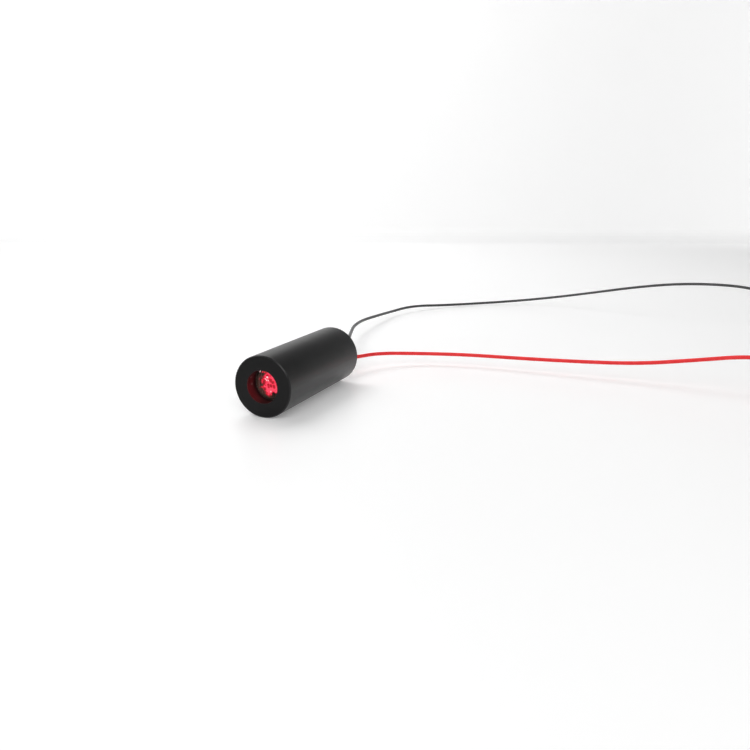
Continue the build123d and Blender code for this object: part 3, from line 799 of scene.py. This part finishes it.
BRASS = Finish(
    "brass", (0.72, 0.50, 0.20), (0.60, 0.40, 0.16), 0.30,
    metallic=1.0, marks=Marks.TURNED, pitch=0.14, depth=0.004,
)
THREADED_BRASS = Finish(
    "brass", (0.70, 0.48, 0.19), (0.58, 0.39, 0.15), 0.28,
    metallic=1.0, marks=Marks.TURNED, pitch=0.50, depth=0.050,
)
SPRING_STEEL = Finish(
    "spring_steel", (0.55, 0.54, 0.52), (0.42, 0.41, 0.40), 0.28,
    metallic=1.0, marks=Marks.DRAWN, pitch=0.03,
)
GILT = Finish(
    "gilt_steel", (0.86, 0.63, 0.27), (0.78, 0.55, 0.22), 0.24,
    metallic=1.0, pitch=0.04, depth=0.001,
)
NICKEL = Finish(
    "nickel", (0.66, 0.63, 0.58), (0.56, 0.54, 0.50), 0.22,
    metallic=1.0, marks=Marks.TURNED, pitch=0.05, depth=0.001,
)
CERAMIC = Finish(
    "ceramic", (0.78, 0.77, 0.72), (0.68, 0.67, 0.62), 0.45,
    pitch=0.03,
)
CHIP_METAL = Finish(
    "semiconductor", (0.16, 0.15, 0.18), (0.34, 0.27, 0.12), 0.2,
    metallic=0.6, pitch=0.02, mottle=0.12,
)
BEAD_GLASS = Finish(
    "seal_glass", (0.10, 0.13, 0.15), (0.06, 0.08, 0.10), 0.12,
    pitch=0.08, mottle=0.3, coat=0.6,
)
SOLDER = Finish(
    "solder", (0.70, 0.70, 0.69), (0.55, 0.55, 0.54), 0.30,
    metallic=1.0, pitch=0.16, depth=0.02,
)
FILM = Finish(
    "sleeve_film", (0.45, 0.19, 0.03), (0.36, 0.14, 0.02), 0.28,
    marks=Marks.DRAWN, pitch=0.3,
)
PLUG = Finish(
    "plug_black", (0.010, 0.010, 0.010), (0.017, 0.017, 0.017), 0.55,
    pitch=0.09, depth=0.008,
)
TINNED = Finish(
    "tinned_copper", (0.74, 0.72, 0.69), (0.62, 0.57, 0.50), 0.30,
    metallic=1.0, marks=Marks.DRAWN, pitch=0.05, depth=0.003,
)
RED_JACKET = JacketFinish("lead_red", (0.96, 0.052, 0.056), (0.90, 0.042, 0.046), 0.52, 0.18)
BLACK_JACKET = JacketFinish("lead_black", (0.046, 0.046, 0.048), (0.058, 0.058, 0.060), 0.44, 0.6)


def dress(finish: Coating, *nodes: str) -> None:
    """Gives the named CAD nodes a finish in place of their plain one."""
    material = finish.material()
    for name in nodes:
        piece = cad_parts[name]
        piece.data.materials.clear()
        piece.data.materials.append(material)
        log.info("dressed %s in %s", name, finish.slot)


@dataclass
class Barrel:
    """The turned housing."""

    finish: AnodisedFinish = field(default_factory=AnodisedFinish)

    def dress(self) -> None:
        """Gives the housing its anodised finish."""
        dress(self.finish, "housing")


@dataclass
class BeamOptics:
    """The cross-line optic, its ring, and the lens in its threaded cell and holder."""

    optic: OpticFinish = field(default_factory=OpticFinish)
    glass: GlassFinish = field(default_factory=GlassFinish)

    def dress(self) -> None:
        """Gives each piece its finish."""
        dress(self.optic, "cross_line_optic")
        dress(BRASS, "optic_ring", "diode_holder", "lens_ring")
        dress(THREADED_BRASS, "lens_cell")
        dress(SPRING_STEEL, "focus_spring")
        dress(self.glass, "collimating_lens", "diode_window")


@dataclass
class Diode:
    """The laser diode: header, cap, chips, glass seals and pins."""

    def dress(self) -> None:
        """Gives each piece its finish."""
        dress(GILT, "diode_header", "diode_pins")
        dress(NICKEL, "diode_can")
        dress(CERAMIC, "laser_submount")
        dress(CHIP_METAL, "laser_chip", "monitor_photodiode")
        dress(BEAD_GLASS, "pin_seals")


class EndCapped(NamedTuple):
    """A kind of end-capped chip: its slot, its colours and how long its caps are."""

    slot: str
    body: Colour
    fleck: Colour
    cap: float


@dataclass
class DriverBoard:
    """The circuit board between the pins and what is soldered to it."""

    resistor: EndCapped = EndCapped(
        "chip_black", (0.015, 0.015, 0.016), (0.035, 0.035, 0.036), 0.3
    )
    capacitor: EndCapped = EndCapped(
        "capacitor_tan", (0.42, 0.27, 0.14), (0.50, 0.34, 0.19), 0.4
    )
    regulator_across: float = -2.78
    regulator_half: float = 0.65
    dot_across: float = -1.35
    dot_inset: float = 0.6

    def dress(self) -> None:
        """Gives each piece its finish."""
        dress(BoardFinish(), "driver_board")
        front, _ = self.span("driver_chip")
        dress(LeadedChipFinish(dot=(self.dot_across, front + self.dot_inset)), "driver_chip")
        regulator = LeadedChipFinish(centre=self.regulator_across, half_body=self.regulator_half)
        dress(regulator, "regulator_transistor")
        for name in ("resistor_1", "resistor_2", "resistor_3"):
            self.dress_end_capped(name, self.resistor)
        for name in ("capacitor_1", "capacitor_2"):
            self.dress_end_capped(name, self.capacitor)
        dress(SOLDER, "pin_solder", "lead_solder")

    @staticmethod
    def span(node: str) -> Pair:
        """The front and rear of a node, in millimetres."""
        low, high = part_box(node)
        return low.y * PER_METRE, high.y * PER_METRE

    def dress_end_capped(self, node: str, kind: EndCapped) -> None:
        """Dresses a chip resistor or capacitor."""
        front, rear = self.span(node)
        middle, half_body = (front + rear) / 2, (rear - front) / 2 - kind.cap
        dress(EndCappedFinish(kind.slot, kind.body, kind.fleck, middle, half_body), node)


@dataclass
class RearEnd:
    """The insulating sleeve and the plug that closes the barrel."""

    def dress(self) -> None:
        """Gives both pieces their finish."""
        dress(FILM, "insulating_sleeve")
        dress(PLUG, "rear_plug")


def add_object(name: str, data: bpy.types.ID) -> bpy.types.Object:
    """Puts an object with that data into the scene."""
    made = bpy.data.objects.new(name, data)
    bpy.context.scene.collection.objects.link(made)
    return made


@dataclass
class Strands:
    """The stripped end of a lead: one straight strand and six twisted round it, tinned."""

    length: float = 5.0
    width: float = 0.42
    count: int = 7
    lay_length: float = 4.2
    steps: int = 44
    sides: int = 10
    taper_from: float = 0.96
    taper_depth: float = 0.94

    def build(self, name: str, start: Vector, ahead: Vector) -> bpy.types.Object:
        """Makes the strands as one piece.

        Args:
            name: the piece's name.
            start: where they leave the insulation, in metres.
            ahead: the direction they run in.
        """
        ahead = ahead.normalized()
        aside = ahead.cross(Vector((0, 0, 1))).normalized()
        turned = Matrix((aside, aside.cross(ahead), ahead)).transposed()
        mesh = bmesh.new()
        for strand in range(self.count):
            rings = [self.ring(mesh, turned, start, strand, step) for step in range(self.steps + 1)]
            for first, second in zip(rings, rings[1:]):
                for side in range(self.sides):
                    following = (side + 1) % self.sides
                    corners = (first[side], first[following], second[following], second[side])
                    mesh.faces.new(corners)
            mesh.faces.new(rings[-1])
            mesh.faces.new(list(reversed(rings[0])))
        bmesh.ops.recalc_face_normals(mesh, faces=mesh.faces)
        data = bpy.data.meshes.new(name)
        mesh.to_mesh(data)
        mesh.free()
        data.polygons.foreach_set("use_smooth", [True] * len(data.polygons))
        data.materials.append(TINNED.material())
        return add_object(name, data)

    def ring(
        self, mesh: bmesh.types.BMesh, turned: Matrix, start: Vector, strand: int, step: int
    ) -> list[bmesh.types.BMVert]:
        """Adds one ring of a strand's corners to the mesh, and returns them.

        Strand 0 is the straight one. `turned` turns the strands' own frame, which runs
        along Z, and `start` is where they begin, in metres.
        """
        share = step / self.steps
        begin = 2 * math.pi * strand / (self.count - 1)
        turn = begin + 2 * math.pi * share * self.length / self.lay_length
        orbit = 0.0 if strand == 0 else self.width / 3
        centre = Vector((orbit * math.cos(turn), orbit * math.sin(turn), share * self.length))
        radius = self.radius(share)
        corners = []
        for side in range(self.sides):
            angle = 2 * math.pi * side / self.sides
            place = centre + Vector((math.cos(angle), math.sin(angle), 0)) * radius
            corners.append(mesh.verts.new(start + turned @ (place / PER_METRE)))
        return corners

    def radius(self, share: float) -> float:
        """A strand's radius at a share of its length, rounded off at its very end."""
        full = self.width / 6
        if share <= self.taper_from:
            return full
        done = (share - self.taper_from) / (1 - self.taper_from)
        return full * math.sqrt(max(0.0, 1 - self.taper_depth * done * done))


@dataclass
class Coil:
    """The put-away length of a lead, wound in a neat round coil, two wide and two high.

    The radii and heights each have the number of the control point that they hold at: the
    wire goes in to the inner turn, climbs to the upper layer and goes out again.
    """

    centre: Pair = (116.0, 7.4)
    outer: float = 5.55
    radii: Stops = ((10, 5.55), (12, 4.65), (30, 4.65), (32, 5.55))
    heights: Stops = ((20, 0.45), (22, 1.35))
    first_angle: float = 85.0
    exit_angle: float = 280.0
    turn_points: int = 12
    count: int = 42
    tail: Stops = ((3.2, 1.35), (6.0, 0.5), (8.4, 0.45))

    def points(self) -> list[Point]:
        """The control points of the turns and of the tail that leaves them."""
        step = 360 / self.turn_points
        widen = 1 / math.cos(math.radians(step / 2))
        middle, behind = self.centre
        made = []
        for number in range(self.count):
            radius = widen * self.between(number, self.radii)
            angle = math.radians(self.first_angle - step * number)
            x, y = middle + radius * math.cos(angle), behind + radius * math.sin(angle)
            made.append((x, y, self.between(number, self.heights)))
        angle = math.radians(self.exit_angle)
        cosine, sine = math.cos(angle), math.sin(angle)
        for along, height in self.tail:
            x = middle + self.outer * cosine + along * sine
            made.append((x, behind + self.outer * sine - along * cosine, height))
        return made

    @staticmethod
    def between(value: float, stops: Stops) -> float:
        """The level at a value, straight from stop to stop and level beyond them."""
        if value <= stops[0][0]:
            return stops[0][1]
        for (low, first), (high, second) in zip(stops, stops[1:]):
            if value <= high:
                return first + (second - first) * (value - low) / (high - low)
        return stops[-1][1]


@dataclass
class Lead:
    """A flying lead: a stranded wire along its route, with a tinned tip.

    The points of its route are how far it is to the right of the axis, behind the
    barrel's rear and above the surface. `inside` has its second number from the origin.
    """

    name: str
    finish: JacketFinish
    inside: Point
    route: tuple[Point, ...]
    coil: Optional[Coil] = None
    diameter: float = 0.85
    length: float = 257.0
    plug_face: float = 14.6
    strands: Strands = field(default_factory=Strands)
    spline_order: int = 3
    round_steps: int = 6
    span_steps: int = 12

    def points(self) -> list[Vector]:
        """The route in the model's frame, in metres, from inside the barrel outwards."""
        told = [*self.route, *(self.coil.points() if self.coil else [])]
        laid = [(x, BARREL_REAR + behind, FLOOR_LEVEL + height) for x, behind, height in told]
        x, y, height = self.inside
        return [metres(*point) for point in [(x, y, FLOOR_LEVEL + height), *laid]]

    def wire(self, points: list[Vector]) -> bpy.types.Object:
        """Makes the insulated wire along its points."""
        data = bpy.data.curves.new(self.name + "_wire", "CURVE")
        data.dimensions = "3D"
        data.bevel_depth = self.diameter / 2 / PER_METRE
        data.bevel_resolution = self.round_steps
        data.resolution_u = self.span_steps
        data.use_fill_caps = True
        spline = data.splines.new("NURBS")
        spline.points.add(len(points) - 1)
        for corner, point in zip(spline.points, points):
            corner.co = (*point, 1.0)
        spline.order_u = self.spline_order
        spline.use_endpoint_u = True
        data.materials.append(self.finish.material())
        return add_object(self.name + "_wire", data)

    def build(self) -> None:
        points = self.points()
        wire = self.wire(points)
        tip = self.strands.build(self.name + "_strands", points[-1], points[-1] - points[-2])
        for piece, slot in ((wire, self.finish.slot), (tip, TINNED.slot)):
            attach(piece, BODY)
        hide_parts(self.name, *([self.name + "_coil"] if self.coil else []))
        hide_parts(self.name + "_tip")
        x, _, height = self.inside
        tuple(metres(x, self.plug_face, FLOOR_LEVEL + height))
        log.info("built %s with its tip", self.name)


RED_LEAD = Lead(
    "red_lead",
    RED_JACKET,
    (1.110, 10.45, 4.663),
    (
        (1.110, 2.4, 4.663),
        (2.0, 7.6, 3.7),
        (4.6, 14.6, 3.4),
        (11.6, 20.8, 2.7),
        (23.6, 23.8, 2.8),
        (36.4, 24.1, 3.0),
        (50.0, 23.9, 3.5),
        (62.6, 23.9, 4.2),
        (73.6, 22.8, 6.2),
        (84.6, 22.2, 8.3),
        (94.4, 20.7, 8.0),
        (102.4, 18.2, 4.5),
        (107.8, 16.3, 1.4),
        (111.88, 14.8, 0.45),
    ),
    coil=Coil(),
)
BLACK_LEAD = Lead(
    "black_lead",
    BLACK_JACKET,
    (-1.710, 10.45, 5.689),
    (
        (-1.710, 2.4, 5.689),
        (-2.2, 8.2, 5.6),
        (-4.0, 17.0, 5.6),
        (-9.0, 29.5, 4.8),
        (-13.5, 41.5, 4.1),
        (-16.2, 53.5, 3.4),
        (-16.9, 66.5, 2.6),
        (-17.6, 79.5, 1.7),
        (-14.7, 92.5, 1.9),
        (-7.0, 104.9, 0.8),
        (3.0, 114.2, 0.7),
        (15.0, 121.2, 1.3),
        (28.0, 124.3, 2.9),
        (41.3, 122.0, 5.6),
        (54.6, 118.3, 8.6),
        (67.2, 116.3, 10.7),
        (79.2, 116.2, 11.3),
        (90.6, 119.0, 10.4),
        (100.6, 120.6, 7.2),
        (109.4, 119.9, 3.2),
        (117.2, 117.4, 0.6),
        (124.4, 113.8, 0.45),
    ),
)


def aim(thing: bpy.types.Object, ahead: Vector) -> None:
    """Turns a camera or lamp to look along a direction."""
    thing.rotation_euler = ahead.to_track_quat("-Z", "Y").to_euler()


@dataclass(frozen=True)
class Lamp:
    """A soft lamp: a lit rectangle that faces a point."""

    name: str
    place: Point
    target: Point
    size: Pair
    watts: float

    def hang(self) -> None:
        """Puts the lamp into the scene."""
        data = bpy.data.lights.new(self.name, "AREA")
        data.shape = "RECTANGLE"
        data.size, data.size_y = (side / PER_METRE for side in self.size)
        data.energy = self.watts
        lamp = add_object(self.name, data)
        lamp.location = metres(*self.place)
        aim(lamp, metres(*self.target) - metres(*self.place))


@dataclass
class Studio:
    """The pale floor and wall, the soft lamps and the camera of the photograph."""

    eye: Point = (69.5, -127.35, 36.33)
    azimuth: float = 22.64
    elevation: float = 14.61
    focal_length: float = 35.107
    sensor_width: float = 36.0
    sight: Pair = (2.0, 20000.0)
    wall_distance: float = 550.0
    half_width: float = 1600.0
    near_reach: float = 1500.0
    wall_height: float = 182.0
    cove: float = 12.0
    cove_foot: float = 0.5
    cove_steps: int = 8
    floor_colour: Colour = (0.90, 0.90, 0.90)
    floor_roughness: float = 0.30
    floor_specular: float = 0.10
    floor_lift: float = 0.20
    wall_lift: float = 0.12
    floor_gloss: float = 0.24
    wall_gloss: float = 0.12
    lit_reach: Pair = (400.0, 720.0)
    far_lift: float = 0.62
    world_level: float = 0.15
    world_seen: Colour = (0.97, 0.97, 0.97)
    lamps: tuple[Lamp, ...] = (
        Lamp("key", (-240, 168, 394), (20, 0, -6), (460, 340), 1.7),
        Lamp("front_fill", (190, -400, 330), (10, 30, -6), (480, 360), 1.7),
    )

    def camera(self) -> None:
        """Puts the camera where the photograph was taken from."""
        turn, tilt = math.radians(self.azimuth), math.radians(self.elevation)
        data = bpy.data.cameras.new("camera")
        data.lens = self.focal_length
        data.sensor_width = self.sensor_width
        data.clip_start, data.clip_end = (limit / PER_METRE for limit in self.sight)
        camera = add_object("camera", data)
        camera.location = metres(*self.eye)
        level = math.cos(tilt)
        aim(camera, Vector((-math.sin(turn) * level, math.cos(turn) * level, -math.sin(tilt))))
        bpy.context.scene.camera = camera

    def stage_material(self) -> Material:
        """A pale, faintly glossy surface that looks white to the camera."""
        bench = Bench.for_material("stage_white")
        path = bench.add("ShaderNodeLightPath")
        at = bench.place()
        wall = at.z.rises(FLOOR_LEVEL + self.cove_foot, FLOOR_LEVEL + self.cove)
        far = away(at.x, at.y).rises(*self.lit_reach)
        lift = wall * self.wall_lift + far * self.far_lift + self.floor_lift
        gloss = wall * (self.wall_gloss - self.floor_gloss) + self.floor_gloss
        seen = Signal(bench, path.outputs["Is Camera Ray"]) * lift
        mirrored = Signal(bench, path.outputs["Is Glossy Ray"]) * gloss
        return bench.close({
            "Base Color": self.floor_colour,
            "Roughness": self.floor_roughness,
            "Specular IOR Level": self.floor_specular,
            "Emission Color": bench.blend(seen + mirrored, DARK, WHITE),
            "Emission Strength": 1.0,
        })

    def profile(self) -> list[Pair]:
        """The stage from the side: how far from the camera's foot, and how high."""
        start = self.wall_distance - self.cove
        points = [(-self.near_reach, 0.0), (start, 0.0)]
        for step in range(1, self.cove_steps + 1):
            angle = math.radians(step * 90 / self.cove_steps)
            along = start + self.cove * math.sin(angle)
            points.append((along, self.cove * (1 - math.cos(angle))))
        return [*points, (self.wall_distance, self.wall_height)]

    def build_stage(self) -> None:
        """Makes the floor, which turns up into a wall behind the module."""
        turn = math.radians(self.azimuth)
        ahead = Vector((-math.sin(turn), math.cos(turn), 0))
        aside = Vector((math.cos(turn), math.sin(turn), 0)) * self.half_width
        foot = Vector((self.eye[0], self.eye[1], FLOOR_LEVEL))
        mesh = bmesh.new()
        rows = []
        for along, height in self.profile():
            middle = foot + ahead * along + Vector((0, 0, height))
            ends = (middle - aside, middle + aside)
            rows.append([mesh.verts.new(end / PER_METRE) for end in ends])
        for (left, right), (far_left, far_right) in zip(rows, rows[1:]):
            mesh.faces.new((left, right, far_right, far_left))
        data = bpy.data.meshes.new("stage")
        mesh.to_mesh(data)
        mesh.free()
        data.materials.append(self.stage_material())
        add_object("stage", data)

    def world(self) -> None:
        """Fills the room with even pale light; the camera sees it white."""
        world = bpy.data.worlds.new("studio")
        bench = Bench(world)
        path = bench.add("ShaderNodeLightPath")
        light = {"Color": WHITE, "Strength": self.world_level}
        lit = bench.add("ShaderNodeBackground", None, light)
        white = bench.add("ShaderNodeBackground", None, {"Color": self.world_seen})
        either = {0: path.outputs["Is Camera Ray"], 1: lit.outputs[0], 2: white.outputs[0]}
        mix = bench.add("ShaderNodeMixShader", None, either)
        bench.add("ShaderNodeOutputWorld", None, {"Surface": mix.outputs[0]})
        bpy.context.scene.world = world

    def build(self) -> None:
        """Sets up the whole studio."""
        bpy.context.scene.view_settings.view_transform = "Standard"
        self.camera()
        self.build_stage()
        self.world()
        for lamp in self.lamps:
            lamp.hang()
        log.info("set up the studio")


def main() -> None:
    """Builds the studio and the module, piece by piece."""
    logging.basicConfig(level=logging.INFO, format="%(name)s: %(message)s")
    Studio().build()
    for lead in (RED_LEAD, BLACK_LEAD):
        lead.build()
    for assembly in (Barrel(), BeamOptics(), Diode(), DriverBoard(), RearEnd()):
        assembly.dress()


if __name__ == "__main__":
    main()
